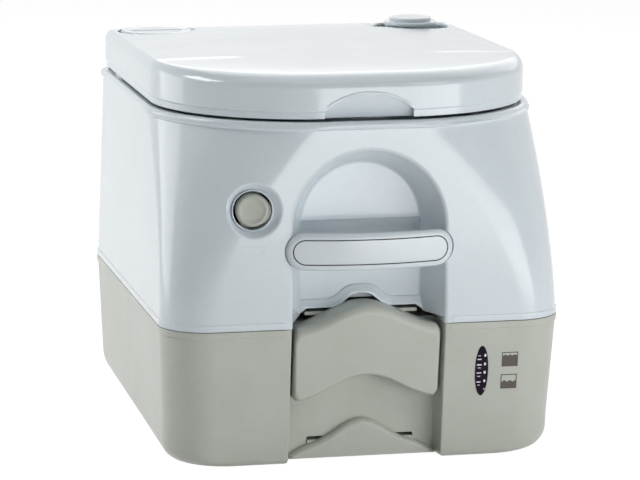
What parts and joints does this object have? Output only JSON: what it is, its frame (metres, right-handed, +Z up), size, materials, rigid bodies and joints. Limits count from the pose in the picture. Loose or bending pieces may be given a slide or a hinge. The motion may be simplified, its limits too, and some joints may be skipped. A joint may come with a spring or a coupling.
{
  "type": "portable camp toilet",
  "caption": "Compact two-section portable toilet: white rinse section with seat, lid, flush button and hand pump on a grey waste tank with a slide valve.",
  "frame": {"origin": "middle of the underside, on the floor", "axes": "+X to the object's right seen from the front, +Y to the rear, +Z up"},
  "size_m": [0.3416, 0.4045, 0.3335],
  "materials": {
    "white_gloss": "glossy moulded plastic, cool white",
    "label_white": "smooth plate, bare",
    "tan_satin": "satin moulded plastic, warm grey",
    "button_beige": "satin beige plastic",
    "lens_black": "dark glossy prism window",
    "inner_grey": "plain inner plastic",
    "seal_rubber": "matte rubber",
    "steel": "plain steel"
  },
  "bodies": {
    "tank": {"waste_tank": "tan_satin", "valve_base": "tan_satin", "valve_cover": "tan_satin", "valve_seal": "seal_rubber", "valve_screws": "steel", "level_lens": "lens_black", "lens_gasket": "seal_rubber", "spout_collar": "tan_satin", "latch_spring": "steel"},
    "slide_valve": {"valve_handle": "tan_satin", "valve_blade": "tan_satin", "handle_screws": "steel"},
    "latch": {"base_latch": "tan_satin"},
    "spout": {"pour_spout": "tan_satin"},
    "spout_closure": {"spout_cap": "tan_satin", "cap_seal": "seal_rubber"},
    "upper": {"upper_shell": "white_gloss", "upper_floor": "white_gloss", "bowl": "white_gloss", "bowl_gasket": "seal_rubber", "front_handle": "white_gloss", "handle_label": "label_white", "button_bezel": "white_gloss", "flush_valve": "inner_grey", "pickup_tube": "inner_grey", "flush_hose": "inner_grey", "rinse_nozzle": "inner_grey", "pump_collar": "white_gloss", "pump_barrel": "inner_grey", "filler_neck": "white_gloss", "hinge_bracket": "white_gloss", "hinge_pin": "steel", "button_spring": "steel"},
    "button": {"flush_button": "button_beige"},
    "pump": {"pump_knob": "white_gloss", "pump_rod": "steel", "pump_piston": "inner_grey", "piston_seal": "seal_rubber"},
    "filler": {"filler_cap": "white_gloss", "filler_seal": "seal_rubber"},
    "seat": {"seat": "white_gloss", "seat_bumpers": "seal_rubber"},
    "lid": {"lid": "white_gloss", "lid_bumpers": "seal_rubber"}
  },
  "joints": [
    {"name": "upper_lift", "type": "slide", "parent": "tank", "child": "upper", "axis": [0, 0, 1], "range_m": [0, 0.15]},
    {"name": "valve_slide", "type": "slide", "parent": "tank", "child": "slide_valve", "axis": [0, -1, 0], "range_m": [0, 0.09]},
    {"name": "latch_slide", "type": "slide", "parent": "tank", "child": "latch", "axis": [0, -1, 0], "range_m": [0, 0.018], "stiffness_N_per_m": 250, "springref_m": -0.02, "deforming": ["latch_spring"]},
    {"name": "spout_swing", "type": "hinge", "parent": "tank", "child": "spout", "pos_m": [0.07, 0.1612, 0.05], "axis": [0, 0, -1], "range_deg": [0, 100]},
    {"name": "spout_cap_turn", "type": "hinge", "parent": "spout", "child": "spout_closure", "pos_m": [-0.052, 0.1612, 0.082], "axis": [-1, 0, 0], "range_deg": [0, 180]},
    {"name": "seat_hinge", "type": "hinge", "parent": "upper", "child": "seat", "pos_m": [0, 0.181, 0.3035], "axis": [-1, 0, 0], "range_deg": [0, 95]},
    {"name": "lid_hinge", "type": "hinge", "parent": "seat", "child": "lid", "pos_m": [0, 0.181, 0.3035], "axis": [1, 0, 0], "range_deg": [-100, 0]},
    {"name": "flush_press", "type": "slide", "parent": "upper", "child": "button", "axis": [0.26, 0.9656, 0], "range_m": [0, 0.006], "stiffness_N_per_m": 300, "springref_m": -0.008, "deforming": ["button_spring"]},
    {"name": "pump_stroke", "type": "slide", "parent": "upper", "child": "pump", "axis": [0, 0, 1], "range_m": [0, 0.065]},
    {"name": "filler_cap_turn", "type": "hinge", "parent": "upper", "child": "filler", "pos_m": [-0.118, 0.152, 0.29], "axis": [0, 0, 1], "range_deg": [0, 90]}
  ]
}
